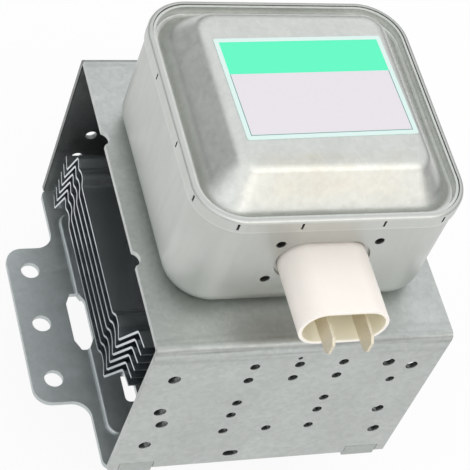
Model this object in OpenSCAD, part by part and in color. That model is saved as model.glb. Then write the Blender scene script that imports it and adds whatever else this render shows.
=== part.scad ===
// Microwave-oven magnetron: vacuum tube, ring magnets, cooling fins, yoke and filter box.
// The mounting face is z = 0, the antenna points to -Z and the connector to -Y.

/* [Mounting plate] */
// Thickness of the mounting plate
plate_t = 1.5; // [1:0.1:2.5]
// Distance between the two rows of ear holes
ear_row = 98; // [92:0.5:110]
// Distance between neighbouring holes in a row
ear_pitch = 18; // [14:0.5:22]
// Diameter of the ear holes
ear_hole_d = 5.2; // [4:0.1:6.5]
// Distance of the ear holes from the ends of the ears
ear_margin = 6.3; // [5:0.1:8]
// Sheet beside the outer ear holes
ear_side = 5; // [3.5:0.1:7]
// Radius of the ear corners and necks
ear_r = 5; // [3:0.1:6]
// Set-back of the plate under the yoke walls
plate_set = 1; // [0:0.1:1.4]
// Reach of the plate past the open sides of the yoke
plate_over = 0.7; // [0:0.1:1.5]
// Height of the pressed panel above the plate
panel_rise = 0.8; // [0.4:0.1:1.4]
// Sheet between the pressed panel and the side edges
panel_edge = 3; // [2:0.1:4]
// Width of the slot beside each ear
slot_w = 5.3; // [4.2:0.1:6]
// Length of the slot beside each ear
slot_l = 18.7; // [14:0.1:24]
// Width of the four air slots in the panel
air_slot_w = 3.6; // [3:0.1:5]
// Length of the four air slots in the panel
air_slot_l = 12; // [8:0.5:14]

/* [Yoke] */
// Width of the yoke, open side to open side
yoke_w = 80; // [76:0.5:90]
// Depth of the yoke over its front and back walls
yoke_d = 95; // [92:0.5:105]
// Height of the yoke walls above the plate
wall_h = 56.6; // [54:0.1:62]
// Sheet thickness of the yoke
yoke_t = 1.5; // [1:0.1:1.9]
// Outer radius of the yoke bends
bend_r = 2; // [1.7:0.1:4]
// Diameter of the small wall holes
small_hole_d = 2.6; // [1.5:0.1:3]
// Diameter of the larger wall holes
side_hole_d = 3.3; // [2.5:0.1:4]
// Distance between the columns of small holes
hole_column = 12.15; // [9:0.05:13]
// Radius of the notches in the side edges of the top
notch_r = 2.5; // [1.7:0.1:4]
// Depth of the notches in the side edges of the top
notch_depth = 1.6; // [0.8:0.1:1.7]
// Distance between the two notches of an edge
notch_pitch = 38.8; // [30:0.2:50]
// Length of the staked tabs of the plate
tab_l = 9.4; // [6:0.1:12]
// Height of the staked tabs of the plate
tab_h = 3; // [1.5:0.1:4]

/* [Filter box] */
// Width of the can
can_w = 70.5; // [66:0.5:76]
// Depth of the can
can_d = 70; // [66:0.5:76]
// Height of the can above the yoke
can_h = 36; // [34:0.1:42]
// Sheet thickness of the can
can_t = 0.8; // [0.6:0.05:1.2]
// Radius of the upright corners of the can
can_r = 12; // [10:0.5:16]
// Radius round the foot of the can
foot_r = 6; // [2:0.1:8]
// Shift of the can from the tube axis towards the connector
can_shift = 0.7; // [0:0.1:2]
// Height of the crimped rim band
rim_h = 4.2; // [3.2:0.1:5]
// Step of the rim band out of the wall
rim_step = 0.45; // [0.1:0.05:0.6]
// Radius along the top of the rim band
rim_round = 1; // [0.4:0.05:1]
// Width of the slits in the rim band
slit_w = 0.6; // [0.3:0.1:1]
// Length of the slits in the rim band
slit_l = 2.2; // [1:0.1:2.4]
// Sheet thickness of the lid
lid_t = 0.7; // [0.5:0.05:1]
// Depth of the lid groove below the rim
groove_drop = 3; // [2.4:0.1:4]
// Width of the lid groove
groove_w = 1.2; // [1:0.1:3]
// Height of the lip round the lid above its groove
lid_lip = 2.7; // [1:0.1:2.8]
// Height of the lid plateau above the rim
plateau_rise = 7.2; // [4:0.1:9]
// Distance of the lid plateau from the edge of the lid
slope_run = 9.8; // [8:0.1:10.5]
// Width of the label
label_w = 45.4; // [38:0.1:46]
// Depth of the label
label_d = 32.1; // [26:0.1:36]
// Thickness of the label
label_t = 0.15; // [0.1:0.05:0.3]
// Turn of the label on the lid
label_turn = 1.75; // [0:0.25:3]

/* [Connector] */
// Width of the connector housing
plug_w = 23.2; // [21.5:0.1:26]
// Height of the connector housing
plug_h = 12.9; // [12:0.1:15]
// Length of the connector housing in front of the can
plug_l = 20; // [14:0.1:24]
// Wall thickness of the connector housing
plug_wall = 1; // [0.8:0.1:1.5]
// Height of the connector axis above the yoke
plug_z = 19.25; // [17:0.05:22]
// Distance between the two blades
blade_pitch = 10; // [9:0.1:11]
// Width of a blade
blade_w = 6.35; // [5:0.05:6.5]
// Thickness of a blade
blade_t = 0.8; // [0.5:0.05:1]
// Reach of the blades past the housing
blade_reach = 6; // [3:0.1:8]
// Diameter of the four holes round the connector
ground_hole_d = 2.5; // [1.5:0.1:3]
// Thickness of the capacitor earth plate
earth_t = 1; // [0.6:0.1:1.5]
// Length of the capacitor block behind the earth plate
cap_l = 14; // [10:0.5:16]

/* [Fins] */
// Width of a fin, side to side
fin_w = 81.6; // [76:0.2:88]
// Thickness of a fin
fin_t = 0.6; // [0.4:0.05:0.8]
// Height of the first fin above the end of the anode
fin_first = 0.85; // [0.6:0.05:1.2]
// Distance of the last fin below the other end of the anode
fin_last = 5.75; // [5.4:0.05:7]
// Height of the stiffening rib across a fin
rib_h = 2.2; // [1.5:0.1:2.6]
// Upright reach of a split fin end
flap_h = 13.3; // [8:0.1:13.5]
// Run of the sloped part of a fin end
flap_run = 6.4; // [5:0.1:8]
// Length of the flat lip of a fin end
lip_l = 4.5; // [2:0.1:5]
// Narrowing of a fin end from its fold to its tip
flap_taper = 1.4; // [0:0.1:3]
// Height of the drawn collar round the anode
collar_h = 2.2; // [1:0.1:2.6]

/* [Tube] */
// Outer diameter of the ring magnets
magnet_d = 54; // [48:0.5:54.5]
// Bore of the ring magnets
magnet_bore = 20; // [19:0.1:22]
// Thickness of a ring magnet
magnet_h = 13; // [11:0.1:13.5]
// Outer diameter of the anode cylinder
anode_d = 39; // [37:0.1:42]
// Wall thickness of the anode cylinder
anode_wall = 2; // [1.5:0.1:2.5]
// Number of vanes
vane_n = 10; // [8:2:12]
// Thickness of a vane
vane_t = 1.9; // [1.4:0.1:2]
// Height of the vanes
vane_h = 9.5; // [8:0.1:10.5]
// Diameter between the vane tips
vane_bore = 9.2; // [8.8:0.1:10]
// Thickness of the pole pieces
pole_t = 1.6; // [1.2:0.1:2]
// Distance of the pole-piece funnels from the vanes
funnel_gap = 2.9; // [2.4:0.1:4]
// Sheet thickness of the drawn seals
seal_t = 0.5; // [0.4:0.05:0.6]
// Outer diameter of the seal sleeves
sleeve_d = 17.6; // [17:0.1:18.2]
// Length of the stem ceramic
stem_l = 10; // [8:0.1:11]
// Height of the stem ceramic above the yoke
stem_z = 7; // [5:0.1:8]
// Diameter of the cathode leads
lead_d = 1.5; // [1.2:0.1:1.6]
// Turns of the filament
filament_turns = 7; // [5:1:8]
// Diameter of the filament wire
filament_d = 0.6; // [0.4:0.05:0.7]
// Distance of the antenna ceramic below the mounting face
ceramic_z = 6; // [5:0.1:8]
// Length of the antenna ceramic
ceramic_l = 9; // [7:0.1:12]
// Length of the antenna cap
cap_h = 13.2; // [11:0.1:16]
// Height of the gasket
gasket_h = 4.6; // [3:0.1:4.8]
// Outer diameter of the gasket
gasket_d = 30; // [27:0.5:34]

/* [Chokes] */
// Diameter of the choke wire
wire_d = 1.2; // [0.9:0.05:1.4]
// Turns of a choke
choke_turns = 10; // [6:1:11]
// Distance between neighbouring turns
choke_pitch = 1.9; // [1.6:0.05:2]
// Diameter of the ferrite rods
rod_d = 5; // [4:0.1:5.4]
// Distance of a choke from the tube axis
choke_x = 16; // [15:0.1:18]

/* [Hidden] */

$fn = 64;
// Length by which a cutting tool passes the face it cuts
over = 1;
// Clearance between pieces that are pushed together
fit = 0.1;
// Air gap round a piece that passes through a hole
gap = 0.4;

// Levels along the tube axis
panel_top = plate_t + panel_rise;
yoke_top = plate_t + wall_h;
yoke_under = yoke_top - yoke_t;
lower_magnet_top = panel_top + magnet_h;
upper_magnet_z = yoke_under - magnet_h;
anode_z = lower_magnet_top + seal_t + pole_t;
anode_top = upper_magnet_z - seal_t - pole_t;
anode_mid = (anode_z + anode_top) / 2;
vane_z = anode_mid - vane_h / 2;
vane_top = anode_mid + vane_h / 2;
funnel_h = vane_z - anode_z - funnel_gap;
rim_z = yoke_top + can_h;
groove_z = rim_z - groove_drop;
plateau_z = rim_z + plateau_rise;
plug_axis = yoke_top + plug_z;
stem_bottom = yoke_top + stem_z;
stem_top = stem_bottom + stem_l;

// Mounting plate
ear_tip = ear_row / 2 + ear_margin;
ear_half = ear_pitch + ear_hole_d / 2 + ear_side;
plate_w = yoke_w + 2 * plate_over;
panel_w = plate_w - 2 * panel_edge;
panel_inset = 8.6;
panel_d = yoke_d - 2 * (yoke_t + panel_inset);
panel_r = 4;
panel_round = 0.8;
plate_d = yoke_d - 2 * plate_set;
plate_r = 2.5;
slot_x = panel_w / 2 + 0.5;
slot_chamfer = 1.6;
air_slot_out = 0.3;
air_slot_r = 1.4;
air_slot_x = magnet_d / 2 + air_slot_w / 2;
air_slot_y = magnet_d / 2 - air_slot_l / 2 + air_slot_out;
tab_edge = 2.8;
tab_x = yoke_w / 2 - tab_l / 2 - tab_edge;

// Hole pattern of the yoke walls, as heights above the plate
wide_rows = [16.5, wall_h - 15.6, wall_h - 9.4];
narrow_rows = [24.4, 30.3];
front_holes = [[-32.5, wall_h - 13.2], [-32.5, 28.3], [-30.5, 22.1], [-32.6, 12],
               [25.3, wall_h - 10.9], [32.6, wall_h - 13], [30.4, 22.6], [32.8, 12.1]];
back_holes = [[-31, 25.1], [-33.2, 15.6], [31, 25.1], [33.2, 15.6]];
pin_holes = [[28.6, wall_h - 19.2, 2.4], [-0.7, wall_h - 6.5, 1.2]];
drain_slot = [-6.7, 4.5];
drain_slot_l = 4.3;
drain_slot_h = 2.6;

// Filter can and connector
can_y = -can_shift;
can_front = can_y - can_d / 2;
can_in = can_front + can_t;
earth_back = can_in + earth_t;
cap_back = earth_back + cap_l;
plug_gap = 0.9;
cap_neck = 2;
plug_floor = 2;
ground_x = 13;
ground_z = 7;
earth_edge = 4;
earth_w = 2 * (ground_x + earth_edge);
earth_h = 2 * (ground_z + earth_edge);
slit_places = [-26.2, -9.9, 11.5, 27.4];
blade_chamfer = 1.4;
tab_w = 4;
inner_tab_l = 6;

// Lid
lid_w = can_w - 2 * (can_t + fit);
lid_d = can_d - 2 * (can_t + fit);
lid_r = can_r - can_t - fit;
plateau_r = 4.5;
groove_bend = 0.5;
crease_bend = 1.8;
crease_steps = 6;
label_x = 0.4;
label_y = 0.2;
label_r = 0.6;

// Fins
fin_n = 6;
fin_pitch = (anode_top - anode_z - fin_first - fin_last) / (fin_n - 1);
fin_clear = 1.5;
fin_end = magnet_d / 2 + fin_clear;
rib_start = fin_end - 8;
rib_foot = 2.2;
rib_crest = 5;
step_foot = 1.5;
step_crest = 3.5;
step_end = 5.5;
step_low = 0.9;
lip_rise = -0.4;
counter = 0.6;
rib_bend = 0.85;
fold_bend = 1.2;
lip_bend = 0.8;
bend_steps = 3;
slit_gap = 0.8;
collar_t = fin_t;

// Tube
anode_r = anode_d / 2;
anode_in = anode_r - anode_wall;
sleeve_r = sleeve_d / 2;
seal_inset = 0.5;
seal_flange_r = anode_r - seal_inset;
funnel_r = vane_bore / 2;
funnel_mouth = 12;
strap_h = 1.2;
strap_t = 0.7;
strap_depth = 1.2;
strap_step = 1.7;
strap_small = vane_bore / 2 + strap_depth;
strap_large = strap_small + strap_step;
strap_air = 0.4;
hat_r = 3.7;
hat_t = 1.1;
lead_r = lead_d / 2;
filament_gap = 0.9;
side_x = 2.8;
strip_w = 4;
strip_t = 0.8;
strip_end = 10.5;
ceramic_r = 8;
ceramic_wall = 2;
exhaust_r = 3;
exhaust_wall = 0.8;
exhaust_l = 7;
pinch_h = 3;
pinch_end = 0.5;
cap_inset = 0.4;
cap_round = 2.5;
gasket_round = 1.8;
antenna_wire_r = 0.6;
antenna_hole_r = 1.1;
antenna_x = 7;
antenna_vane_r = 10;

// Chokes
wire_r = wire_d / 2;
rod_gap = 0.25;
choke_r = rod_d / 2 + wire_r + rod_gap;
choke_gap = 1.6;
choke_y = cap_back + inner_tab_l + choke_gap;
choke_end = choke_y + choke_turns * choke_pitch;
rod_over = 1.5;

// Colours as seen on the object
steel = [0.72, 0.74, 0.73];
dull_steel = [0.45, 0.48, 0.5];
can_colour = [0.74, 0.74, 0.72];
fin_colour = [0.8, 0.8, 0.79];
cream = [0.96, 0.93, 0.88];
blade_colour = [0.69, 0.65, 0.55];
ferrite = [0.16, 0.16, 0.17];
copper = [0.72, 0.45, 0.3];
ceramic_colour = [0.93, 0.9, 0.88];
tungsten = [0.4, 0.4, 0.42];

// Unit vector along v
function unit(v) = v / norm(v);

// Curve that takes the corner b between a and c
function bend(a, b, c, reach, n) =
    let (p = b + unit(a - b) * reach, q = b + unit(c - b) * reach)
    [for (i = [0:n]) let (t = i / n) (1 - t) * (1 - t) * p + 2 * t * (1 - t) * b + t * t * q];

// Path with its inner corners softened, each by its own reach
function softened(path, reaches, n) =
    concat([path[0]],
           [for (i = [1:len(path) - 2]) each bend(path[i - 1], path[i], path[i + 1], reaches[i - 1], n)],
           [path[len(path) - 1]]);

// Normal of the flat segment from a to b
function normal(a, b) = let (d = unit(b - a)) [-d[1], d[0]];

// Point at distance h beside the flat path, on the mitre of its vertex i
function beside(path, i, h) =
    let (last = len(path) - 1,
         n0 = normal(path[max(i - 1, 0)], path[max(i, 1)]),
         n1 = normal(path[min(i, last - 1)], path[min(i + 1, last)]),
         m = unit(n0 + n1))
    path[i] + m * h / (m * n0);

// Outline of a sheet of thickness t that follows the flat path
function sheet(path, t) =
    concat([for (i = [0:len(path) - 1]) beside(path, i, t / 2)],
           [for (i = [len(path) - 1:-1:0]) beside(path, i, -t / 2)]);

// Direction of the path at its point i
function tangent(path, i) = unit(path[min(i + 1, len(path) - 1)] - path[max(i - 1, 0)]);

// Vector n made square to the direction t
function squared(n, t) = unit(n - (n * t) * t);

// Ring of points round the point p
function ring(p, t, n, r, sides) =
    [for (k = [0:sides - 1]) let (a = 360 * k / sides) p + r * (cos(a) * n + sin(a) * cross(t, n))];

// Rings of a round wire along the path, without twist
function wire_rings(path, r, sides, start) =
    [for (i = 0, n = squared(start, tangent(path, 0));
          i < len(path);
          i = i + 1, n = i < len(path) ? squared(n, tangent(path, i)) : n)
        ring(path[i], tangent(path, i), n, r, sides)];

// Rounded rectangle of points at height z
function rounded_ring(w, d, r, z) =
    let (corner_steps = 10)
    [for (q = [0:3]) for (k = [0:corner_steps])
        let (a = 90 * q + 90 * k / corner_steps,
             sx = q == 0 || q == 3 ? 1 : -1,
             sy = q < 2 ? 1 : -1)
        [sx * (w / 2 - r) + r * cos(a), sy * (d / 2 - r) + r * sin(a), z]];

// Closed skin over rings of equally many points
module skin(rings) {
    n = len(rings[0]);
    last = len(rings) - 1;
    points = [for (r = rings) each r];
    sides = [for (j = [0:last - 1]) for (k = [0:n - 1])
        let (a = j * n + k, b = j * n + (k + 1) % n)
        each [[a, a + n, b + n], [a, b + n, b]]];
    first_cap = [for (k = [0:n - 1]) k];
    last_cap = [for (k = [n - 1:-1:0]) last * n + k];
    polyhedron(points, concat(sides, [first_cap, last_cap]), convexity = 6);
}

// Round wire along a path of points
module wire(path, r, sides, start) {
    skin(wire_rings(path, r, sides, start));
}

// Flat rectangle with round corners
module rounded_rect(w, d, r) {
    square([w - 2 * r, d], center = true);
    square([w, d - 2 * r], center = true);
    for (sx = [-1, 1], sy = [-1, 1])
        translate([sx * (w / 2 - r), sy * (d / 2 - r)]) circle(r);
}

// Flat oval with half-round ends
module oval(w, h) {
    square([w - h, h], center = true);
    for (sx = [-1, 1])
        translate([sx * (w - h) / 2, 0]) circle(h / 2);
}

// Extrusion along -Y of a flat shape drawn in X and Z, from y1 towards y0
module along_y(y0, y1) {
    translate([0, y1, 0]) rotate([90, 0, 0]) linear_extrude(y1 - y0) children();
}

// Section of a block of height h and half width e, with its lower outer corner rounded to f
module foot_section(e, h, f) {
    square([e - f, h]);
    translate([0, f]) square([e, h - f]);
    translate([e - f, f]) circle(f);
}

// Block with upright corners of radius r and a rounded foot
module footed_block(w, d, h, r, f) {
    for (sx = [-1, 1], sy = [-1, 1])
        translate([sx * (w / 2 - r), sy * (d / 2 - r), 0]) rotate_extrude() foot_section(r, h, f);
    for (turn = [0, 180]) rotate([0, 0, turn]) {
        rotate([90, 0, 0]) linear_extrude(d - 2 * r, center = true) foot_section(w / 2, h, f);
        rotate([90, 0, 90]) linear_extrude(w - 2 * r, center = true) foot_section(d / 2, h, f);
    }
}

// Ring between two radii from z upwards
module tube(r_out, r_in, h, z = 0) {
    translate([0, 0, z]) difference() {
        cylinder(h = h, r = r_out);
        translate([0, 0, -over]) cylinder(h = h + 2 * over, r = r_in);
    }
}

// Slots through both walls of the yoke for the tabs of the plate
module tab_slots(clearance) {
    for (sx = [-1, 1])
        translate([sx * tab_x, 0]) square([tab_l + 2 * clearance, 2 * (tab_h + clearance)], center = true);
}

// Holes of one yoke wall with its own side holes, drawn in X and Z above the plate
module wall_holes(side_holes) {
    for (z = wide_rows, c = [-1:1])
        translate([c * hole_column, z]) circle(d = small_hole_d);
    for (z = narrow_rows, c = [-1, 1])
        translate([c * hole_column, z]) circle(d = small_hole_d);
    for (p = side_holes)
        translate(p) circle(d = side_hole_d);
    for (p = pin_holes)
        translate([p[0], p[1]]) circle(d = p[2]);
    translate(drain_slot) oval(drain_slot_l, drain_slot_h);
    tab_slots(fit);
}

module yoke_frame() {
    inner_r = bend_r - yoke_t;
    color(steel) difference() {
        translate([-yoke_w / 2, 0, plate_t]) rotate([90, 0, 90]) linear_extrude(yoke_w) difference() {
            union() {
                translate([-yoke_d / 2, 0]) square([yoke_d, wall_h - bend_r]);
                translate([-yoke_d / 2 + bend_r, 0]) square([yoke_d - 2 * bend_r, wall_h]);
                for (s = [-1, 1])
                    translate([s * (yoke_d / 2 - bend_r), wall_h - bend_r]) circle(bend_r);
            }
            translate([-yoke_d / 2 + yoke_t, -over]) square([yoke_d - 2 * yoke_t, wall_h - bend_r + over]);
            translate([-yoke_d / 2 + bend_r, -over]) square([yoke_d - 2 * bend_r, wall_h - yoke_t + over]);
            for (s = [-1, 1])
                translate([s * (yoke_d / 2 - bend_r), wall_h - bend_r]) circle(inner_r);
        }
        translate([0, 0, plate_t]) along_y(-yoke_d / 2 - over, 0) wall_holes(front_holes);
        translate([0, 0, plate_t]) along_y(0, yoke_d / 2 + over) wall_holes(back_holes);
        translate([0, 0, yoke_under - over]) cylinder(h = yoke_t + 2 * over, r = sleeve_r + gap);
        for (sx = [-1, 1], sy = [-1, 1])
            translate([sx * (yoke_w / 2 + notch_r - notch_depth), sy * notch_pitch / 2, yoke_under - over])
                cylinder(h = yoke_t + 2 * over, r = notch_r);
    }
}

// Outline of the mounting plate with its two ears
module plate_outline() {
    rounded_rect(plate_w, plate_d, plate_r);
    rounded_rect(2 * ear_tip, 2 * ear_half, ear_r);
    for (sx = [-1, 1], sy = [-1, 1]) scale([sx, sy]) translate([plate_w / 2, ear_half]) difference() {
        square(ear_r);
        translate([ear_r, ear_r]) circle(ear_r);
    }
}

// Slot with chamfered ends
module ear_slot() {
    chamfer = slot_chamfer;
    half_w = slot_w / 2;
    half_l = slot_l / 2;
    polygon([[half_w, half_l - 2 * chamfer], [half_w - chamfer, half_l], [chamfer - half_w, half_l],
             [-half_w, half_l - 2 * chamfer], [-half_w, 2 * chamfer - half_l], [chamfer - half_w, -half_l],
             [half_w - chamfer, -half_l], [half_w, 2 * chamfer - half_l]]);
}

module mounting_plate() {
    color(dull_steel) difference() {
        union() {
            linear_extrude(plate_t) plate_outline();
            translate([0, 0, panel_top]) mirror([0, 0, 1])
                footed_block(panel_w, panel_d, panel_top, panel_r, panel_round);
            for (s = [-1, 1])
                translate([0, s * (yoke_d - yoke_t) / 2, plate_t]) along_y(-yoke_t / 2, yoke_t / 2)
                    intersection() {
                        tab_slots(0);
                        translate([-yoke_w / 2, -plate_t]) square([yoke_w, wall_h]);
                    }
        }
        translate([0, 0, -over]) linear_extrude(panel_rise + over)
            rounded_rect(panel_w - 2 * plate_t, panel_d - 2 * plate_t, panel_r - plate_t);
        translate([0, 0, -over]) cylinder(h = panel_top + 2 * over, r = sleeve_r + gap);
        for (sx = [-1, 1]) {
            for (k = [-1:1])
                translate([sx * ear_row / 2, k * ear_pitch, -over])
                    cylinder(h = plate_t + 2 * over, d = ear_hole_d);
            translate([sx * slot_x, 0, -over]) linear_extrude(panel_top + 2 * over) ear_slot();
            for (sy = [-1, 1])
                translate([sx * air_slot_x, sy * air_slot_y, -over])
                    linear_extrude(panel_top + 2 * over) rounded_rect(air_slot_w, air_slot_l, air_slot_r);
        }
    }
}

// Four slits through the rim band of one side at distance e from the can axis
module rim_slits(e) {
    for (p = slit_places)
        translate([p, -e, rim_z - rim_h / 2]) cube([slit_w, 4 * can_t, slit_l], center = true);
}

module filter_can() {
    color(can_colour) difference() {
        translate([0, can_y, 0]) difference() {
            union() {
                translate([0, 0, yoke_top]) footed_block(can_w, can_d, can_h - rim_round, can_r, foot_r);
                translate([0, 0, rim_z]) mirror([0, 0, 1]) footed_block(
                    can_w + 2 * rim_step, can_d + 2 * rim_step, rim_h, can_r + rim_step, rim_round);
            }
            translate([0, 0, yoke_top + can_t]) footed_block(can_w - 2 * can_t, can_d - 2 * can_t,
                                                             can_h + over, can_r - can_t, foot_r - can_t);
            for (side = [-1, 1]) rim_slits(side * can_d / 2);
            for (side = [-1, 1]) rotate([0, 0, 90]) rim_slits(side * can_w / 2);
        }
        translate([0, 0, yoke_top - over]) cylinder(h = can_t + 2 * over, r = sleeve_r + gap);
        translate([0, 0, plug_axis]) along_y(can_front - over, can_in + over) {
            oval(plug_w + 2 * plug_gap, plug_h + 2 * plug_gap);
            ground_holes();
        }
    }
}

// Four holes round the connector, drawn in X and Z
module ground_holes() {
    for (sx = [-1, 1], sz = [-1, 1])
        translate([sx * ground_x, sz * ground_z]) circle(d = ground_hole_d);
}

// Upper face of the lid from its lip to the plateau, as distance from the lid edge and height
function lid_path() =
    let (foot = lid_t + groove_w,
         lip = [lid_t, groove_z + lid_lip],
         groove = [lid_t, groove_z],
         low = [foot, groove_z],
         high = [slope_run, plateau_z],
         flat = [slope_run + 2 * crease_bend, plateau_z])
    concat([lip],
           bend(lip, groove, low, groove_bend, bend_steps),
           bend(groove, low, high, groove_bend, bend_steps),
           bend(low, high, flat, crease_bend, crease_steps));

// Ring of the lid at a point of its section, with corners that tighten towards the plateau
function lid_ring(p) =
    rounded_ring(lid_w - 2 * p[0], lid_d - 2 * p[0], lid_r - p[0] * (lid_r - plateau_r) / slope_run, p[1]);

module filter_lid() {
    face = lid_path();
    color(can_colour) translate([0, can_y, 0]) skin(concat(
        [for (i = [len(face) - 1:-1:0]) lid_ring(beside(face, i, -lid_t))],
        [for (p = face) lid_ring(p)]));
}

module label() {
    color("white") translate([label_x, can_y + label_y, plateau_z]) rotate([0, 0, label_turn])
        linear_extrude(label_t) rounded_rect(label_w, label_d, label_r);
}

// Two rectangles where the blades cross a wall, drawn in X and Z
module blade_slots(w, clearance) {
    for (sx = [-1, 1])
        translate([sx * blade_pitch / 2, 0])
            square([blade_t + 2 * clearance, w + 2 * clearance], center = true);
}

module connector_housing() {
    color(cream) translate([0, 0, plug_axis]) difference() {
        along_y(can_front - plug_l, can_in) oval(plug_w, plug_h);
        along_y(can_front - plug_l - over, can_in - plug_floor)
            oval(plug_w - 2 * plug_wall, plug_h - 2 * plug_wall);
        along_y(can_front - plug_l, can_in + over) blade_slots(blade_w, fit);
    }
}

// One flat terminal: blade, middle and inner tab, drawn in Y and Z
module terminal() {
    tip = can_front - plug_l - blade_reach;
    half = blade_w / 2;
    nose = half - blade_chamfer;
    tab = tab_w / 2;
    tab_end = cap_back + inner_tab_l;
    color(blade_colour) translate([-blade_t / 2, 0, plug_axis]) rotate([90, 0, 90])
        linear_extrude(blade_t)
            polygon([[tip, nose], [tip + blade_chamfer, half], [can_in, half], [can_in, tab],
                     [tab_end, tab], [tab_end, -tab], [can_in, -tab], [can_in, -half],
                     [tip + blade_chamfer, -half], [tip, -nose]]);
}

module terminal_blade_left() {
    translate([-blade_pitch / 2, 0, 0]) terminal();
}

module terminal_blade_right() {
    translate([blade_pitch / 2, 0, 0]) terminal();
}

module capacitor_block() {
    color([0.55, 0.36, 0.28]) translate([0, 0, plug_axis]) difference() {
        union() {
            along_y(earth_back, cap_back) oval(plug_w, plug_h);
            along_y(can_in, cap_back) oval(plug_w - 2 * cap_neck, plug_h - 2 * cap_neck);
        }
        along_y(can_in - over, cap_back + over) blade_slots(tab_w, fit);
    }
}

module capacitor_earth_plate() {
    color(steel) translate([0, 0, plug_axis]) along_y(can_in, earth_back) difference() {
        square([earth_w, earth_h], center = true);
        oval(plug_w - 2 * cap_neck + 2 * fit, plug_h - 2 * cap_neck + 2 * fit);
        ground_holes();
    }
}

// Wire path of the right choke: tab, coil and cathode strip
function choke_path() =
    let (steps = 12,
         z = plug_axis,
         tab = [blade_pitch / 2 + blade_t / 2 + wire_r, cap_back + inner_tab_l / 2, z],
         inner_x = choke_x - choke_r,
         strip_z = stem_top + strip_t + wire_r)
    concat(
        [tab, tab + [0.6, 1.2, 1.4], [inner_x - 2.4, choke_y - 2.2, z + 2.6]],
        [[inner_x - 0.3, choke_y - 0.9, z + 2]],
        [for (i = [0:choke_turns * steps])
            let (a = 180 + 360 * i / steps)
            [choke_x + choke_r * cos(a), choke_y + choke_pitch * i / steps, z + choke_r * sin(a)]],
        [[inner_x, choke_end + 0.6, z - 1.6], [inner_x - 1.2, choke_end - 0.6, strip_z - 1.4]],
        [[strip_end + 0.2, (strip_w + choke_end) / 2, strip_z - 0.6]],
        [[strip_end - 0.8, strip_w / 2 + wire_r, strip_z], [strip_end - 2, 0, strip_z]]);

module choke_coil_right() {
    color(copper) wire(choke_path(), wire_r, 6, [0, 0, 1]);
}

module choke_coil_left() {
    mirror([1, 0, 0]) choke_coil_right();
}

module choke_core_right() {
    color(ferrite) translate([choke_x, 0, plug_axis])
        along_y(choke_y - rod_over, choke_end + rod_over) circle(d = rod_d);
}

module choke_core_left() {
    mirror([1, 0, 0]) choke_core_right();
}

// Half section of a fin in Y and Z, with its end bent up after a rib or down after a step
function fin_path(up) =
    let (dip = up > 0 ? -counter : rib_h + counter,
         rise = dip + up * flap_h,
         rib = [[rib_foot, rib_h], [rib_crest, rib_h]],
         step = [[step_foot, rib_h], [step_crest, rib_h], [step_end, step_low]])
    concat([[0, 0], [rib_start, 0]], [for (p = up > 0 ? rib : step) p + [rib_start, 0]],
           [[fin_end, dip], [fin_end + flap_run, rise], [fin_end + flap_run + lip_l, rise + lip_rise * up]]);

// Reach of the bends along the half section
function fin_bends(up) = concat([for (i = [1:up > 0 ? 3 : 4]) rib_bend], [fold_bend, lip_bend]);

// Wedge outside the tapered side of a fin end
module taper_wedge() {
    side = fin_w / 2;
    tip = fin_end + flap_run + lip_l;
    linear_extrude(4 * flap_h, center = true)
        polygon([[side, fin_end], [side - flap_taper, tip], [side - flap_taper, tip + over],
                 [side + over, tip + over], [side + over, fin_end]]);
}

// Quarter of a fin from the middle to the end at +Y, on the side of +X
module fin_quarter(up) {
    difference() {
        translate([slit_gap / 2, 0, 0]) rotate([90, 0, 90]) linear_extrude(fin_w / 2 - slit_gap / 2)
            polygon(sheet(softened(fin_path(up), fin_bends(up), bend_steps), fin_t));
        taper_wedge();
    }
}

// Cooling fin number i, counted from the antenna
module fin(i) {
    bore_r = anode_r + fit;
    color(fin_colour) translate([0, 0, anode_z + fin_first + (i - 1) * fin_pitch]) difference() {
        union() {
            for (turn = [0, 180]) rotate([0, 0, turn]) {
                fin_quarter(1);
                mirror([1, 0, 0]) fin_quarter(-1);
            }
            cube([2 * slit_gap, 2 * rib_start, fin_t], center = true);
            translate([0, 0, -fin_t / 2]) cylinder(h = collar_h + fin_t / 2, r = bore_r + collar_t);
        }
        translate([0, 0, -over]) cylinder(h = collar_h + 2 * over, r = bore_r);
    }
}

module fin_1() fin(1);
module fin_2() fin(2);
module fin_3() fin(3);
module fin_4() fin(4);
module fin_5() fin(5);
module fin_6() fin(6);

// Ring magnet standing on z
module magnet(z) {
    color(ferrite) tube(magnet_d / 2, magnet_bore / 2, magnet_h, z);
}

module upper_magnet() {
    magnet(upper_magnet_z);
}

module lower_magnet() {
    magnet(panel_top);
}

module anode_cylinder() {
    color(copper) tube(anode_r, anode_in, anode_top - anode_z, anode_z);
}

// Half outline of a vane in radius and height above its middle, with the strap seats of its kind
module vane_section(kind) {
    tip = vane_bore / 2;
    seat_r = kind == 0 ? strap_small : strap_large;
    notch_in = strap_small - strap_air;
    notch_out = strap_large + strap_t + strap_air;
    floor_z = vane_h / 2 - strap_h - strap_air;
    seat_z = vane_h / 2 - strap_h;
    difference() {
        translate([tip, 0]) square([anode_in + over - tip, vane_h / 2]);
        translate([notch_in, floor_z]) square([notch_out - notch_in, vane_h]);
    }
    translate([seat_r, 0]) square([strap_t, seat_z]);
}

module anode_vanes() {
    color(copper) translate([0, 0, anode_mid]) intersection() {
        for (k = [0:vane_n - 1]) rotate([0, 0, 360 * k / vane_n])
            for (flip = [0, 1]) mirror([0, 0, flip]) rotate([90, 0, 0])
                linear_extrude(vane_t, center = true) vane_section(k % 2);
        cylinder(h = 2 * vane_h, r = anode_in, center = true);
    }
}

module strap_rings() {
    color(copper) for (r = [strap_small, strap_large], z = [vane_z, vane_top - strap_h])
        tube(r + strap_t, r, strap_h, z);
}

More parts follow.
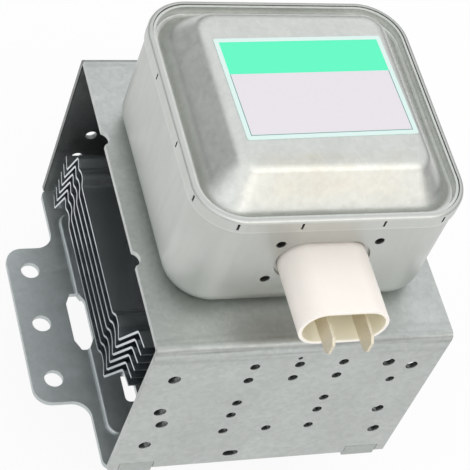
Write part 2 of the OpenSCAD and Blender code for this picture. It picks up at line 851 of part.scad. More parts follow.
// Pole piece seen from the anode end: flat rim and funnel into the anode
module pole_piece() {
    rim_mid = pole_t / 2;
    mouth = funnel_mouth;
    tip = funnel_r + pole_t / 2;
    path = softened([[seal_flange_r, rim_mid], [mouth, rim_mid], [tip, -funnel_h]], [2], 4);
    rotate_extrude() polygon(sheet(path, pole_t));
}

module upper_pole_piece() {
    color(steel) translate([0, 0, anode_top]) pole_piece();
}

module lower_pole_piece() {
    color(steel) difference() {
        translate([0, 0, anode_z]) mirror([0, 0, 1]) pole_piece();
        translate([antenna_x, 0, anode_z - pole_t]) cylinder(h = funnel_h + 3 * pole_t, r = antenna_hole_r);
    }
}

module filament() {
    steps = 14;
    helix_r = lead_r + filament_d / 2 + filament_gap;
    z0 = vane_z + filament_d / 2;
    rise = vane_h - filament_d;
    path = [for (i = [0:filament_turns * steps])
        let (a = 360 * i / steps)
        [helix_r * cos(a), helix_r * sin(a), z0 + rise * i / (filament_turns * steps)]];
    color(tungsten) wire(path, filament_d / 2, 6, [0, 0, 1]);
}

module upper_end_hat() {
    color(tungsten) tube(hat_r, lead_r + gap, hat_t, vane_top);
}

module lower_end_hat() {
    color(tungsten) tube(hat_r, lead_r + fit / 2, hat_t, vane_z - hat_t);
}

module centre_lead() {
    color(tungsten) translate([0, 0, vane_z - hat_t])
        cylinder(h = stem_top + strip_t - vane_z + hat_t, r = lead_r);
}

module side_lead() {
    color(tungsten) translate([side_x, 0, vane_top + hat_t])
        cylinder(h = stem_top + strip_t - vane_top - hat_t, r = lead_r);
}

// Drawn seal with its flange on z = 0 and its sleeve reaching up by l
module seal(l) {
    tube(seal_flange_r, sleeve_r - seal_t, seal_t);
    tube(sleeve_r, sleeve_r - seal_t, l);
}

module cathode_sleeve() {
    z = anode_top + pole_t;
    color(steel) translate([0, 0, z]) seal(stem_bottom - z);
}

module output_sleeve() {
    z = anode_z - pole_t;
    color(steel) translate([0, 0, z]) mirror([0, 0, 1]) seal(z + ceramic_z);
}

module stem_ceramic() {
    color(ceramic_colour) difference() {
        translate([0, 0, stem_bottom]) cylinder(h = stem_l, r = sleeve_r);
        for (x = [0, side_x])
            translate([x, 0, stem_bottom - over]) cylinder(h = stem_l + 2 * over, r = lead_r + fit / 2);
    }
}

// Flat strip on the stem ceramic from x0 to x1, round the lead at x
module cathode_strip(x0, x1, x) {
    translate([x0, -strip_w / 2, stem_top]) difference() {
        cube([x1 - x0, strip_w, strip_t]);
        translate([x - x0, strip_w / 2, -over]) cylinder(h = strip_t + 2 * over, r = lead_r + fit / 2);
    }
}

module cathode_terminals() {
    split = side_x / 2;
    color(steel) {
        cathode_strip(-strip_end, split - gap / 2, 0);
        cathode_strip(split + gap / 2, strip_end, side_x);
    }
}

module antenna_lead() {
    end_z = -ceramic_z - ceramic_l - exhaust_l / 2;
    path = softened([[antenna_vane_r, 0, vane_z], [antenna_vane_r, 0, vane_z - 1.2],
                     [antenna_x, 0, anode_z + funnel_h], [antenna_x, 0, anode_z - pole_t],
                     [0, 0, -ceramic_z / 2], [0, 0, end_z]], [0.5, 0.5, 0.5, 0.5], 2);
    color(copper) wire(path, antenna_wire_r, 8, [0, 1, 0]);
}

module antenna_ceramic() {
    color(ceramic_colour) tube(ceramic_r + ceramic_wall / 2, ceramic_r - ceramic_wall, ceramic_l,
                               -ceramic_z - ceramic_l);
}

module exhaust_tube() {
    top = -ceramic_z - ceramic_l;
    pinch_z = top - exhaust_l;
    color(copper) {
        tube(ceramic_r, exhaust_r - exhaust_wall, seal_t, top - seal_t);
        tube(exhaust_r, exhaust_r - exhaust_wall, exhaust_l, pinch_z);
        hull() {
            translate([0, 0, pinch_z - 0.1]) cylinder(h = 0.1, r = exhaust_r, $fn = 32);
            translate([-exhaust_r, -exhaust_wall / 2, pinch_z - pinch_h])
                cube([2 * exhaust_r, exhaust_wall, pinch_end]);
        }
    }
}

module antenna_cap() {
    r = ceramic_r - cap_inset;
    top = -ceramic_z - ceramic_l - seal_t;
    color(steel) translate([0, 0, top - cap_h]) difference() {
        rotate_extrude() foot_section(r, cap_h, cap_round);
        translate([0, 0, seal_t]) rotate_extrude() foot_section(r - seal_t, cap_h, cap_round - seal_t);
    }
}

module rf_gasket() {
    section_w = gasket_d / 2 - sleeve_r - fit;
    color([0.62, 0.6, 0.55]) translate([0, 0, panel_rise - gasket_h]) rotate_extrude()
        translate([sleeve_r + fit + section_w / 2, gasket_h / 2])
            rounded_rect(section_w, gasket_h, gasket_round);
}

yoke_frame();
mounting_plate();
filter_can();
filter_lid();
label();
connector_housing();
terminal_blade_left();
terminal_blade_right();
capacitor_block();
capacitor_earth_plate();
choke_coil_left();
choke_coil_right();
choke_core_left();
choke_core_right();
fin_1();
fin_2();
fin_3();
fin_4();
fin_5();
fin_6();
upper_magnet();
lower_magnet();
anode_cylinder();
anode_vanes();
strap_rings();
upper_pole_piece();
lower_pole_piece();
filament();
upper_end_hat();
lower_end_hat();
centre_lead();
side_lead();
cathode_sleeve();
output_sleeve();
stem_ceramic();
cathode_terminals();
antenna_lead();
antenna_ceramic();
exhaust_tube();
antenna_cap();
rf_gasket();
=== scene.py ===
"""Looks of a microwave-oven magnetron: finishes, label print, floor, studio light and camera."""

import math

import bpy
from mathutils import Matrix, Vector


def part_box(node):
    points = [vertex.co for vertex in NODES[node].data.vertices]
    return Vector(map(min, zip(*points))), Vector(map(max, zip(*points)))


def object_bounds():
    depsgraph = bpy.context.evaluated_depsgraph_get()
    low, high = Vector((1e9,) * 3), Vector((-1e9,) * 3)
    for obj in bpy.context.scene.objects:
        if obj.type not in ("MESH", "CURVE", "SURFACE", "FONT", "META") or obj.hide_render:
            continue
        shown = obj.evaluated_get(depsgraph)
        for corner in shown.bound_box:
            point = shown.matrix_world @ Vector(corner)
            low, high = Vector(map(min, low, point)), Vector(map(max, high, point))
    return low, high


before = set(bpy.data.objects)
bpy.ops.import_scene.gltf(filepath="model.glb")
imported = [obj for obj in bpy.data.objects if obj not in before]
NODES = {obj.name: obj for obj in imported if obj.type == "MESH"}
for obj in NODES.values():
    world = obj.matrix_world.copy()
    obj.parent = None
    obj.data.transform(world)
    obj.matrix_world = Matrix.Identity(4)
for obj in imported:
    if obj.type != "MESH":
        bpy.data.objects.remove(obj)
CAD_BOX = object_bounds()
MM = 0.001
WHITE = (1, 1, 1, 1)

# Camera: focal length in pixels of the square frame, sensor in millimetres, place in metres, right and up
FRAME_PX = 470
FOCAL_PX = 1895.9
SENSOR_WIDTH = 36
CAMERA_PLACE = (-0.1847, -0.2800, 0.4253)
CAMERA_RIGHT = (0.9339, -0.2366, 0.2684)
CAMERA_UP = (0.0315, 0.8016, 0.5971)

# Soft boxes: place and width in metres, power in watts and tint
SOFTBOXES = {
    "key": ((0.3, -0.85, 0.45), 1.1, 2.0, (1, 0.955, 0.9)),
    "front": ((0.15, -0.7, 0.9), 1.2, 1.7, (1, 0.975, 0.94)),
    "fill": ((-0.8, -0.5, 0.5), 0.9, 0.8, (1, 1, 1)),
}

# Floor: width in metres, millimetres under the lowest point, paint, and share of white where it is seen
FLOOR_WIDTH = 60
FLOOR_DROP = 0.2
FLOOR_PAINT = (0.9, 0.9, 0.9, 1)
FLOOR_LIFT = 0.88

# Sky: brightness round the horizon and overhead, the heights it changes between, and tint
SKY_LEVELS = (0.16, 1.05)
SKY_HEIGHTS = (0.05, 0.6)
SKY_TINT = (0.98, 0.99, 1, 1)

# Label print: turn, sizes on the label in millimetres, colours, and grain, roughness and depth of the fibre
LABEL_TURN = math.radians(1.75)
LABEL_MARGIN = 1.2
LABEL_LINE = 0.22
LABEL_BAND = 10.4
FIELD_DARK = (222, 217, 222)
FIELD_LIGHT = (229, 224, 229)
BORDER_COLOUR = (217, 238, 233)
LINE_COLOUR = (105, 150, 145)
BAND_COLOUR = (88, 242, 190)
FIBRE_GRAIN = 2400
FIBRE_GLOSS = (0.34, 0.46)
FIBRE_DEPTH = 4e-6

# Painted shade on the yoke's walls, folds and punched holes and on the plate's tabs, as tones beside that of
# the flat sheet
WALL_PAINTED_SHADE = 0.91
FOLD_PAINTED_SHADE = 0.74
HOLE_PAINTED_SHADE = 0.45
TAB_PAINTED_SHADE = (0.85, 0.84, 0.81, 1)

# Places of the streaks and of that painted shade, in millimetres past the outer faces of the yoke, so
# negative is inwards
STREAK_DROP = (-8, -2)
STREAK_SIDE = (-5, -1)
FOLD_REACH = (-2, -0.8)
WALL_TOP = (-4, -1)
HOLE_DEPTHS = (-1.45, -0.25)
HOLE_BOTTOM = 1
HOLE_TOP = -3.5
HOLE_SIDE = -1
CUT_SIDE = -0.3
CUT_BACK = -1.6
TAB_DEPTH = -0.5

# Streaks beside the yoke's folds: stretch, grain, the noise levels they come in between and their depth
FOLD_STRETCH = (0.05, 1, 1)
FOLD_STREAK = {"scale": 700, "detail": 4}
FOLD_STREAK_SPAN = (0.45, 0.68)
FOLD_STREAK_SHARE = 0.32

# Warm patches on the lid: tint, places in millimetres past the side and the front, grain and strength
WARM_PATCH_TONE = (0.98, 0.94, 0.88, 1)
WARM_PATCH_SIDE = (-15, -8)
WARM_PATCH_START = (3, 6)
WARM_PATCH_END = (12.5, 14.5)
WARM_PATCH_GRAIN = 60
WARM_PATCH_SPAN = (0.4, 0.6)
WARM_PATCH_SHARES = (0.2, 1)

# Crimped band round the rim of the can: height in millimetres, tones of the painted shadow under it and of
# the painted highlight on it, and millimetres past its lower edge
RIM_BAND = 4.2
RIM_SHADE = 0.8
RIM_SHADE_REACH = (-0.9, -0.2)
RIM_HIGHLIGHT_TONES = (1.16, 1.06)
RIM_HIGHLIGHT_REACH = (0.2, 0.7)

# Noise levels that most of a noise lies between
NOISE_SPAN = (0.3, 0.7)

# Sheet metal: grain in cycles per metre, the noise levels each mark comes in between, its share and its tint
BLOTCH = {"scale": 70, "detail": 4}
STREAK = {"scale": 420, "detail": 5, "roughness": 0.65}
SPECKLE = {"scale": 2600, "detail": 2}
STREAK_SPAN = (0.35, 0.75)
STREAK_SHARE = 0.22
STREAK_TINT = 2.2
SPECKLE_SPAN = (0.5, 0.8)
SPECKLE_SHARE = 0.2
SPECKLE_TINT = 2
SPECKLE_BUMP = 0.4

# Zinc spangle: flakes and waves of their edges in cycles per metre, and how far the waves reach
FLAKE_GRAIN = 850
WAVE_GRAIN = 500
WAVE_SHARE = 0.002

# Moulded plastic: clouds, skin, millimetres from the outline in to the mouth where a painted warm light
# starts, and translucence
CLOUD_GRAIN = 120
CLOUD_TONES = (0.97, 1.02)
SKIN_GRAIN = 3500
SKIN_SMOOTHER = 0.05
SKIN_ROUGHER = 0.08
SKIN_DEPTH = 8e-6
MOUTH_EDGE = (0.75, 0.9)
SUBSURFACE_WEIGHT = 0.45
SUBSURFACE_RADIUS = (1.0, 0.95, 0.85)
SUBSURFACE_SCALE = 0.003

# Dull solids: detail of the grain, grains across a cloud, noise levels and share of clouds, gloss and depth
GRAIN_DETAIL = 4
GRAIN_ROUGHNESS = 0.6
GRAINS_PER_CLOUD = 20
CLOUD_SPAN = (0.4, 0.7)
CLOUD_SHARE = 0.3
GRAIN_SMOOTHER = 0.06
GRAIN_ROUGHER = 0.08
GRAIN_DEPTH = 2e-5
GRAIN_STRENGTH = 0.6

# Knitted mesh: turn in radians, grain and waver of the loops, painted shade in the gaps, roughness and depth
# in metres
LOOP_TURN = (0.6, 0.5, 0.8)
LOOP_GRAIN = 420
LOOP_WAVER = 2.5
GAP_PAINTED_SHADE = 0.3
LOOP_GLOSS = (0.6, 0.35)
LOOP_DEPTH = 2e-4

# Dressing: weld in metres, angles that count as flat, rounded and sharp, steps of a rounding, weight of faces
WELD_REACH = 1e-6
FLAT_ANGLE = math.radians(1)
ROUNDED_ANGLE = math.radians(50)
SHARP_ANGLE = math.radians(35)
ROUNDING_STEPS = 2
FACE_WEIGHT = 100

# Edge rounding in millimetres on the pieces that show a worked edge
ROUNDING = {
    "yoke_frame": 0.16,
    "mounting_plate": 0.2,
    "filter_can": 0.14,
    "filter_lid": 0.12,
    "connector_housing": 0.22,
    "terminal_blade_left": 0.12,
    "terminal_blade_right": 0.12,
    "upper_magnet": 0.5,
    "lower_magnet": 0.5,
    "antenna_ceramic": 0.4,
}


# Node helpers

def add(tree, kind, inputs=None, **settings):
    """A new node with its settings, and each input either linked or set to a constant."""
    node = tree.nodes.new(kind)
    for key, value in settings.items():
        setattr(node, key, value)
    for key, value in (inputs or {}).items():
        if isinstance(value, bpy.types.NodeSocket):
            tree.links.new(value, node.inputs[key])
        else:
            node.inputs[key].default_value = value
    return node


def rgba(colour):
    """Linear colour with alpha, from sRGB values of 0 to 255."""
    def linear(v):
        v = v / 255
        return v / 12.92 if v <= 0.04045 else ((v + 0.055) / 1.055) ** 2.4
    return tuple(linear(v) for v in colour) + (1.0,)


def tinted(colour, factor):
    """The colour with each channel multiplied by the factor, up to 1."""
    return tuple(min(1.0, c * factor) for c in colour[:3]) + (1.0,)


def past(edge, reach):
    """Two places, at distances in millimetres past an edge."""
    return [edge + distance * MM for distance in reach]


def noise(tree, place, scale, detail=3.0, roughness=0.55):
    """Noise value between 0 and 1, with the scale in cycles per metre."""
    inputs = {"Vector": place, "Scale": scale, "Detail": detail, "Roughness": roughness}
    return add(tree, "ShaderNodeTexNoise", inputs).outputs["Fac"]


def mix(tree, factor, first, second):
    """Mix of two colours, each a socket or a constant."""
    inputs = {0: factor, 6: first, 7: second}
    return add(tree, "ShaderNodeMix", inputs, data_type="RGBA").outputs[2]


def ranged(tree, value, low, high, start=0.0, end=1.0):
    """The value mapped from the span of start and end to that of low and high, clamped."""
    inputs = {"Value": value, "From Min": start, "From Max": end, "To Min": low, "To Max": high}
    return add(tree, "ShaderNodeMapRange", inputs).outputs["Result"]


def math_node(tree, operation, first, second=0.0):
    """One arithmetic operation on two values."""
    return add(tree, "ShaderNodeMath", {0: first, 1: second}, operation=operation).outputs[0]


def product(tree, first, *others):
    """Product of values."""
    for other in others:
        first = math_node(tree, "MULTIPLY", first, other)
    return first


def within(tree, value, low, high):
    """1 where the value is between two limits, otherwise 0."""
    over = math_node(tree, "GREATER_THAN", value, low)
    return product(tree, over, math_node(tree, "LESS_THAN", value, high))


def scaled(tree, tone, factor):
    """The colour multiplied by a value, or by another colour."""
    return add(tree, "ShaderNodeVectorMath", {0: tone, 1: factor}, operation="MULTIPLY").outputs[0]


def split(tree, place):
    """The three coordinates of a place."""
    return add(tree, "ShaderNodeSeparateXYZ", {"Vector": place}).outputs


def stretched(tree, place, scale):
    """Coordinates stretched by a scale for each axis."""
    return add(tree, "ShaderNodeMapping", {"Vector": place, "Scale": scale}).outputs["Vector"]


def mottled(tree, value, base, contrast):
    """The colour, darker where a noise is low and lighter where it is high."""
    share = ranged(tree, value, 0, 1, *NOISE_SPAN)
    return mix(tree, share, tinted(base, 1 - contrast), tinted(base, 1 + contrast))


def new_material(name):
    """Empty node material with a Principled shader, and its object coordinates."""
    material = bpy.data.materials.new(name)
    material.use_nodes = True
    tree = material.node_tree
    shader = tree.nodes["Principled BSDF"]
    place = add(tree, "ShaderNodeTexCoord").outputs["Object"]
    return material, tree, shader, place


def coat(tree, shader, tone, gloss, metallic=0.0):
    """Link the shader's colour and roughness, and set how metallic it is."""
    tree.links.new(tone, shader.inputs["Base Color"])
    tree.links.new(gloss, shader.inputs["Roughness"])
    shader.inputs["Metallic"].default_value = metallic


def bump(tree, shader, height, depth, strength=1.0):
    """Bump of the given depth in metres on the shader's normal."""
    node = add(tree, "ShaderNodeBump", {"Height": height, "Distance": depth, "Strength": strength})
    tree.links.new(node.outputs["Normal"], shader.inputs["Normal"])


# Marks, painted light and painted shade that single pieces carry

def yoke_streaks_and_painted_shade(tree, place):
    """Shade of the yoke: streaks beside the folds, and painted shade on the bends, the walls, the insides of
    the punched holes and the far wall's edges.
    """
    low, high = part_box("yoke_frame")
    axes = split(tree, place)
    across = math_node(tree, "ABSOLUTE", axes["X"])
    along = math_node(tree, "ABSOLUTE", axes["Y"])
    near_top = ranged(tree, axes["Z"], 0, 1, *past(high.z, STREAK_DROP))
    near_side = ranged(tree, along, 0, 1, *past(high.y, STREAK_SIDE))
    streak = noise(tree, stretched(tree, place, FOLD_STRETCH), **FOLD_STREAK)
    streak = ranged(tree, streak, 0, FOLD_STREAK_SHARE, *FOLD_STREAK_SPAN)
    depth = product(tree, near_top, near_side, streak)
    # Painted shade: the bends along the folds, the walls, the insides of the punched holes and the side edges
    # of the far wall are darkened in colour.
    fold_top = ranged(tree, axes["Z"], 0, 1, *past(high.z, FOLD_REACH))
    fold_shade_mask = product(tree, fold_top, ranged(tree, along, 0, 1, *past(high.y, FOLD_REACH)))
    wall_shade_mask = product(tree, near_side, ranged(tree, axes["Z"], 1, 0, *past(high.z, WALL_TOP)))
    sunk = within(tree, along, *past(high.y, HOLE_DEPTHS))
    level = within(tree, axes["Z"], low.z + HOLE_BOTTOM * MM, high.z + HOLE_TOP * MM)
    hole_shade_mask = product(tree, sunk, level, math_node(tree, "LESS_THAN", across, high.x + HOLE_SIDE * MM))
    cut_side = math_node(tree, "GREATER_THAN", across, high.x + CUT_SIDE * MM)
    far_edge_shade_mask = product(tree, cut_side, math_node(tree, "GREATER_THAN", axes["Y"], high.y + CUT_BACK * MM))
    shade = math_node(tree, "SUBTRACT", 1.0, depth)
    # Each painted shade mask darkens the colour down to its tone.
    for mark, tone in ((fold_shade_mask, FOLD_PAINTED_SHADE), (wall_shade_mask, WALL_PAINTED_SHADE), (hole_shade_mask, HOLE_PAINTED_SHADE), (far_edge_shade_mask, HOLE_PAINTED_SHADE)):
        shade = product(tree, shade, ranged(tree, mark, 1.0, tone))
    return shade


def tab_painted_shade(tree, place):
    """Shade of the plate: painted shade on the tabs, like that on the walls they hold."""
    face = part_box("yoke_frame")[1].y + TAB_DEPTH * MM
    along = math_node(tree, "ABSOLUTE", split(tree, place)["Y"])
    # Painted shade: the tabs are darkened in colour to match the walls.
    return mix(tree, math_node(tree, "GREATER_THAN", along, face), WHITE, TAB_PAINTED_SHADE)


def lid_marks(tree, place):
    """Shade of the lid: faint warm patches on the slope above the connector."""
    low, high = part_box("filter_lid")
    axes = split(tree, place)
    across = math_node(tree, "ABSOLUTE", axes["X"])
    middle = ranged(tree, across, 1, 0, *past(high.x, WARM_PATCH_SIDE))
    start = ranged(tree, axes["Y"], 0, 1, *past(low.y, WARM_PATCH_START))
    slope = product(tree, start, ranged(tree, axes["Y"], 1, 0, *past(low.y, WARM_PATCH_END)))
    warm_patch = ranged(tree, noise(tree, place, WARM_PATCH_GRAIN), *WARM_PATCH_SHARES, *WARM_PATCH_SPAN)
    return mix(tree, product(tree, middle, slope, warm_patch), WHITE, WARM_PATCH_TONE)


def rim_painted_light(tree, place):
    """Painted light on the can's rim: a painted highlight on the crimped band, with a painted shadow line
    under its lower edge.
    """
    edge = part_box("filter_can")[1].z - RIM_BAND * MM
    height = split(tree, place)["Z"]
    # Painted shadow under the band's lower edge, and a painted highlight on the band that is strongest at
    # that edge.
    under = ranged(tree, height, 1.0, RIM_SHADE, *past(edge, RIM_SHADE_REACH))
    above = math_node(tree, "GREATER_THAN", height, edge)
    band = ranged(tree, height, *RIM_HIGHLIGHT_TONES, *past(edge, RIM_HIGHLIGHT_REACH))
    return add(tree, "ShaderNodeMix", {0: above, 2: under, 3: band}).outputs[0]


def oval_inset(tree, place, name):
    """Distance in from the outline of a node that is an oval along Y."""
    low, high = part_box(name)
    centre = (low + high) / 2
    radius = (high.z - low.z) / 2
    axes = split(tree, place)
    across = math_node(tree, "ABSOLUTE", math_node(tree, "SUBTRACT", axes["X"], centre.x))
    reach = math_node(tree, "SUBTRACT", across, high.x - centre.x - radius)
    reach = math_node(tree, "MAXIMUM", reach, 0.0)
    rise = math_node(tree, "SUBTRACT", axes["Z"], centre.z)
    arm = add(tree, "ShaderNodeCombineXYZ", {"X": reach, "Z": rise}).outputs["Vector"]
    length = add(tree, "ShaderNodeVectorMath", {0: arm}, operation="LENGTH").outputs["Value"]
    return math_node(tree, "SUBTRACT", radius, length)


# Materials

def flakes(tree, place):
    """Random value for each flake of a zinc spangle whose edges are wavy."""
    wave = add(tree, "ShaderNodeTexNoise", {"Vector": place, "Scale": WAVE_GRAIN}).outputs["Color"]
    wavy = mix(tree, WAVE_SHARE, place, wave)
    cells = add(tree, "ShaderNodeTexVoronoi", {"Vector": wavy, "Scale": FLAKE_GRAIN}).outputs["Color"]
    return add(tree, "ShaderNodeSeparateColor", {"Color": cells}).outputs["Red"]


def sheet_metal(name, colour, roughness, mottle=0.06, grain=(1, 1, 1), spread=0.06, depth=2e-6,
                spangle=0.0, marks_and_painted_light=None):
    """Rolled sheet with blotches, speckle, streaks, uneven gloss, and spangle if asked, and a piece's own
    shading, which holds painted light and shade, if given.
    """
    material, tree, shader, place = new_material(name)
    base = rgba(colour)
    streak = noise(tree, stretched(tree, place, grain), **STREAK)
    speckle = noise(tree, place, **SPECKLE)
    streak_share = ranged(tree, streak, 0, STREAK_SHARE, *STREAK_SPAN)
    speckle_share = ranged(tree, speckle, 0, SPECKLE_SHARE, *SPECKLE_SPAN)
    tone = mottled(tree, noise(tree, place, **BLOTCH), base, mottle)
    tone = mix(tree, streak_share, tone, tinted(base, 1 - STREAK_TINT * mottle))
    tone = mix(tree, speckle_share, tone, tinted(base, 1 + SPECKLE_TINT * mottle))
    if spangle:
        tone = scaled(tree, tone, ranged(tree, flakes(tree, place), 1 - spangle, 1 + spangle))
    # A piece's own shading, with painted light and shade on the yoke, plate and can.
    if marks_and_painted_light:
        tone = scaled(tree, tone, marks_and_painted_light(tree, place))
    gloss = ranged(tree, streak, roughness - spread, roughness + spread, *NOISE_SPAN)
    coat(tree, shader, tone, gloss, 1.0)
    bump(tree, shader, mix(tree, SPECKLE_BUMP, streak, speckle), depth)
    return material


def moulded_plastic(name, colour, painted_mouth_light, roughness):
    """Satin moulded plastic with a faint skin and a little translucence, with a painted warm light inside its
    mouth.
    """
    material, tree, shader, place = new_material(name)
    cloud = noise(tree, place, CLOUD_GRAIN)
    skin = noise(tree, place, SKIN_GRAIN)
    inset = oval_inset(tree, place, "connector_housing")
    # Painted light: a warmer colour inside the mouth stands in for the light that warms it there.
    tone = mix(tree, ranged(tree, inset, 0, 1, *past(0, MOUTH_EDGE)), rgba(colour), rgba(painted_mouth_light))
    tone = scaled(tree, tone, ranged(tree, cloud, *CLOUD_TONES))
    coat(tree, shader, tone, ranged(tree, skin, roughness - SKIN_SMOOTHER, roughness + SKIN_ROUGHER))
    shader.inputs["Subsurface Weight"].default_value = SUBSURFACE_WEIGHT
    shader.inputs["Subsurface Radius"].default_value = SUBSURFACE_RADIUS
    shader.inputs["Subsurface Scale"].default_value = SUBSURFACE_SCALE
    bump(tree, shader, skin, SKIN_DEPTH)
    return material


def dull_solid(name, colour, roughness, scale=1800, contrast=0.18, metallic=0.0):
    """Sintered, cast or drawn body with a grainy surface."""
    material, tree, shader, place = new_material(name)
    base = rgba(colour)
    grain = noise(tree, place, scale, GRAIN_DETAIL, GRAIN_ROUGHNESS)
    cloud = noise(tree, place, scale / GRAINS_PER_CLOUD)
    tone = mottled(tree, grain, base, contrast)
    tone = mix(tree, ranged(tree, cloud, 0, CLOUD_SHARE, *CLOUD_SPAN), tone, tinted(base, 1 - contrast))
    gloss = ranged(tree, grain, roughness - GRAIN_SMOOTHER, roughness + GRAIN_ROUGHER, *NOISE_SPAN)
    coat(tree, shader, tone, gloss, metallic)
    bump(tree, shader, grain, GRAIN_DEPTH, GRAIN_STRENGTH)
    return material


def label_size():
    """Width and depth of the turned label, from the box round it."""
    low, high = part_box("label")
    span = high - low
    c, s = math.cos(LABEL_TURN), math.sin(LABEL_TURN)
    share = c * c - s * s
    return (span.x * c - span.y * s) / share, (span.y * c - span.x * s) / share


def label_print(name):
    """Coated paper with a green band, a thin frame line and a bare lower field."""
    material, tree, shader, place = new_material(name)
    low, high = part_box("label")
    centre = (low + high) / 2
    turn = {"Vector": place, "Location": centre, "Rotation": (0, 0, LABEL_TURN)}
    flat = add(tree, "ShaderNodeMapping", turn, vector_type="TEXTURE").outputs["Vector"]
    axes = split(tree, flat)
    width, depth = label_size()
    half_w = width / 2 - LABEL_MARGIN * MM
    half_d = depth / 2 - LABEL_MARGIN * MM
    across = math_node(tree, "SUBTRACT", half_w, math_node(tree, "ABSOLUTE", axes["X"]))
    along = math_node(tree, "SUBTRACT", half_d, math_node(tree, "ABSOLUTE", axes["Y"]))
    inset = math_node(tree, "MINIMUM", across, along)
    inside = math_node(tree, "GREATER_THAN", inset, 0.0)
    line = product(tree, inside, math_node(tree, "LESS_THAN", inset, LABEL_LINE * MM))
    band = product(tree, math_node(tree, "GREATER_THAN", axes["Y"], half_d - LABEL_BAND * MM), inside)
    fibre = noise(tree, place, FIBRE_GRAIN)
    field = mix(tree, fibre, rgba(FIELD_DARK), rgba(FIELD_LIGHT))
    tone = mix(tree, inside, rgba(BORDER_COLOUR), field)
    tone = mix(tree, line, tone, rgba(LINE_COLOUR))
    tone = mix(tree, band, tone, rgba(BAND_COLOUR))
    coat(tree, shader, tone, ranged(tree, fibre, *FIBRE_GLOSS))
    bump(tree, shader, fibre, FIBRE_DEPTH)
    return material


def wire_mesh(name, colour):
    """Knitted wire: two crossing waves of bright loops over gaps darkened with painted shade."""
    material, tree, shader, place = new_material(name)
    base = rgba(colour)
    turned = add(tree, "ShaderNodeMapping", {"Vector": place, "Rotation": LOOP_TURN}).outputs["Vector"]
    wave = {"Vector": turned, "Scale": LOOP_GRAIN, "Distortion": LOOP_WAVER}
    rows = add(tree, "ShaderNodeTexWave", wave).outputs["Fac"]
    columns = add(tree, "ShaderNodeTexWave", wave, bands_direction="Z").outputs["Fac"]
    loops = math_node(tree, "MAXIMUM", rows, columns)
    # Painted shade: the gaps between the loops are darkened in colour.
    tone = mix(tree, loops, tinted(base, GAP_PAINTED_SHADE), base)
    coat(tree, shader, tone, ranged(tree, loops, *LOOP_GLOSS), 1.0)
    bump(tree, shader, loops, LOOP_DEPTH)
    return material


MATERIALS = {
    "yoke": sheet_metal("yoke_zinc", (195, 199, 196), 0.41, spangle=0.05, marks_and_painted_light=yoke_streaks_and_painted_shade),
    "plate": sheet_metal("plate_zinc", (192, 198, 198), 0.48, mottle=0.03, grain=(0.3, 1, 1), spangle=0.04,
                         marks_and_painted_light=tab_painted_shade),
    "can": sheet_metal("can_steel", (195, 197, 193), 0.38, mottle=0.03, grain=(1, 1, 0.2), marks_and_painted_light=rim_painted_light),
    "lid": sheet_metal("lid_steel", (212, 214, 210), 0.36, mottle=0.03, spangle=0.035, marks_and_painted_light=lid_marks),
    "label": label_print("label_paper"),
    "housing": moulded_plastic("housing_plastic", (255, 244, 234), (255, 246, 222), 0.34),
    "blade": dull_solid("blade_tin", (222, 214, 194), 0.5, scale=2200, contrast=0.1, metallic=0.7),
    "fin": sheet_metal("fin_aluminium", (206, 211, 214), 0.25, mottle=0.01, spread=0.02, depth=5e-7),
    "ferrite": dull_solid("ferrite", (54, 55, 58), 0.55),
    "copper": dull_solid("copper", (196, 120, 84), 0.32, contrast=0.08, metallic=1.0),
    "enamel": dull_solid("enamelled_copper", (178, 92, 54), 0.28, contrast=0.1, metallic=0.6),
    "resin": dull_solid("capacitor_resin", (140, 92, 70), 0.45),
    "plated": sheet_metal("plated_steel", (186, 185, 180), 0.34),
    "tungsten": dull_solid("tungsten", (120, 120, 126), 0.4, contrast=0.1, metallic=1.0),
    "ceramic": dull_solid("alumina", (232, 214, 208), 0.5, contrast=0.04),
    "cap": sheet_metal("cap_steel", (190, 190, 187), 0.3, grain=(1, 1, 0.1)),
    "mesh": wire_mesh("gasket_mesh", (176, 172, 160)),
}

FINS = ["fin_%d" % i for i in range(1, 7)]
FINISH = {
    "yoke": ["yoke_frame"],
    "plate": ["mounting_plate"],
    "can": ["filter_can"],
    "lid": ["filter_lid"],
    "label": ["label"],
    "housing": ["connector_housing"],
    "blade": ["terminal_blade_left", "terminal_blade_right"],
    "fin": FINS,
    "ferrite": ["upper_magnet", "lower_magnet", "choke_core_left", "choke_core_right"],
    "copper": ["anode_cylinder", "anode_vanes", "strap_rings", "antenna_lead", "exhaust_tube"],
    "enamel": ["choke_coil_left", "choke_coil_right"],
    "resin": ["capacitor_block"],
    "plated": ["capacitor_earth_plate", "upper_pole_piece", "lower_pole_piece", "cathode_sleeve",
               "output_sleeve", "cathode_terminals"],
    "tungsten": ["filament", "upper_end_hat", "lower_end_hat", "centre_lead", "side_lead"],
    "ceramic": ["stem_ceramic", "antenna_ceramic"],
    "cap": ["antenna_cap"],
    "mesh": ["rf_gasket"],
}


# Dressing, stage and camera

def smooth_group():
    """Node group that shades faces smooth and leaves edges over the sharp angle sharp."""
    group = bpy.data.node_groups.new("smooth_by_angle", "GeometryNodeTree")
    for way in ("INPUT", "OUTPUT"):
        group.interface.new_socket("Geometry", in_out=way, socket_type="NodeSocketGeometry")
    start = add(group, "NodeGroupInput").outputs[0]
    old_normals = {"Geometry": start, "Name": "custom_normal"}
    bare = add(group, "GeometryNodeRemoveAttribute", old_normals).outputs[0]
    set_smooth = "GeometryNodeSetShadeSmooth"
    faces = add(group, set_smooth, {0: bare, "Shade Smooth": True}, domain="FACE").outputs[0]
    angle = add(group, "GeometryNodeInputMeshEdgeAngle").outputs["Unsigned Angle"]
    limit = {0: angle, 1: SHARP_ANGLE}
    soft = add(group, "FunctionNodeCompare", limit, operation="LESS_THAN").outputs[0]
    edges = add(group, set_smooth, {0: faces, "Shade Smooth": soft}, domain="EDGE").outputs[0]
    add(group, "NodeGroupOutput", {0: edges})
    return group


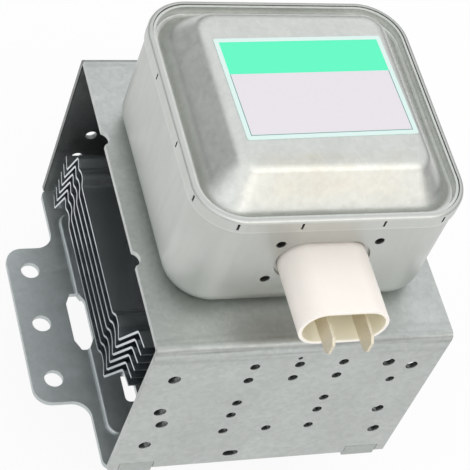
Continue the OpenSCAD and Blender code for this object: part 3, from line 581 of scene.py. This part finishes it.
def dress(name, material, group):
    """Give a node its finish, join its split vertices, round its edges and shade it smooth."""
    piece = NODES[name]
    piece.data.materials.clear()
    piece.data.materials.append(material)
    weld = piece.modifiers.new("weld", "WELD")
    weld.merge_threshold = WELD_REACH
    if name in ROUNDING:
        merge = piece.modifiers.new("flat_merge", "DECIMATE")
        merge.decimate_type = "DISSOLVE"
        merge.angle_limit = FLAT_ANGLE
        rounding = piece.modifiers.new("rounding", "BEVEL")
        rounding.width = ROUNDING[name] * MM
        rounding.segments = ROUNDING_STEPS
        rounding.limit_method = "ANGLE"
        rounding.angle_limit = ROUNDED_ANGLE
        rounding.use_clamp_overlap = True
    shade = piece.modifiers.new("shade", "NODES")
    shade.node_group = group
    flat = piece.modifiers.new("flat_faces", "WEIGHTED_NORMAL")
    flat.keep_sharp = True
    flat.weight = FACE_WEIGHT


def add_floor():
    """Pale floor under the lowest point, lifted towards white where it is seen."""
    lowest = CAD_BOX[0].z
    bpy.ops.mesh.primitive_plane_add(size=FLOOR_WIDTH, location=(0, 0, lowest - FLOOR_DROP * MM))
    floor = bpy.context.object
    floor.name = "floor"
    material = bpy.data.materials.new("floor_white")
    material.use_nodes = True
    tree = material.node_tree
    tree.nodes.clear()
    rays = add(tree, "ShaderNodeLightPath").outputs
    seen = math_node(tree, "MAXIMUM", rays["Is Camera Ray"], rays["Is Glossy Ray"])
    seen = math_node(tree, "MAXIMUM", seen, rays["Is Transmission Ray"])
    paint = add(tree, "ShaderNodeBsdfDiffuse", {"Color": FLOOR_PAINT})
    glow = add(tree, "ShaderNodeEmission", {"Color": WHITE, "Strength": 1.0})
    lift = product(tree, seen, FLOOR_LIFT)
    both = add(tree, "ShaderNodeMixShader", {0: lift, 1: paint.outputs[0], 2: glow.outputs[0]})
    add(tree, "ShaderNodeOutputMaterial", {"Surface": both.outputs[0]})
    floor.data.materials.append(material)


def add_world():
    """Soft dome: bright overhead, dimmer round the horizon."""
    world = bpy.data.worlds.new("studio")
    bpy.context.scene.world = world
    world.use_nodes = True
    tree = world.node_tree
    tree.nodes.clear()
    direction = add(tree, "ShaderNodeTexCoord").outputs["Generated"]
    level = ranged(tree, split(tree, direction)["Z"], *SKY_LEVELS, *SKY_HEIGHTS)
    back = add(tree, "ShaderNodeBackground", {"Color": SKY_TINT, "Strength": level})
    add(tree, "ShaderNodeOutputWorld", {"Surface": back.outputs[0]})


def add_softbox(name, place, size, watts, tint):
    """Square area light aimed at the middle of the object."""
    light = bpy.data.lights.new(name, "AREA")
    light.size = size
    light.energy = watts
    light.color = tint
    box = bpy.data.objects.new(name, light)
    bpy.context.scene.collection.objects.link(box)
    target = (CAD_BOX[0] + CAD_BOX[1]) / 2
    place = Vector(place)
    box.location = place
    box.rotation_euler = (target - place).to_track_quat("-Z", "Y").to_euler()


def add_camera():
    """Camera at the photograph's place and angle."""
    right = Vector(CAMERA_RIGHT).normalized()
    back = right.cross(Vector(CAMERA_UP)).normalized()
    up = back.cross(right)
    lens = bpy.data.cameras.new("camera")
    lens.sensor_width = SENSOR_WIDTH
    lens.lens = FOCAL_PX / FRAME_PX * lens.sensor_width
    camera = bpy.data.objects.new("camera", lens)
    bpy.context.scene.collection.objects.link(camera)
    axes = Matrix((right, up, back)).transposed().to_4x4()
    camera.matrix_world = Matrix.Translation(Vector(CAMERA_PLACE)) @ axes
    bpy.context.scene.camera = camera


def main():
    """Dress every piece, and add the floor, the lights and the camera."""
    group = smooth_group()
    for finish, names in FINISH.items():
        for name in names:
            dress(name, MATERIALS[finish], group)
    add_floor()
    add_world()
    for name, settings in SOFTBOXES.items():
        add_softbox(name, *settings)
    add_camera()
    bpy.context.scene.view_settings.view_transform = "Standard"


main()
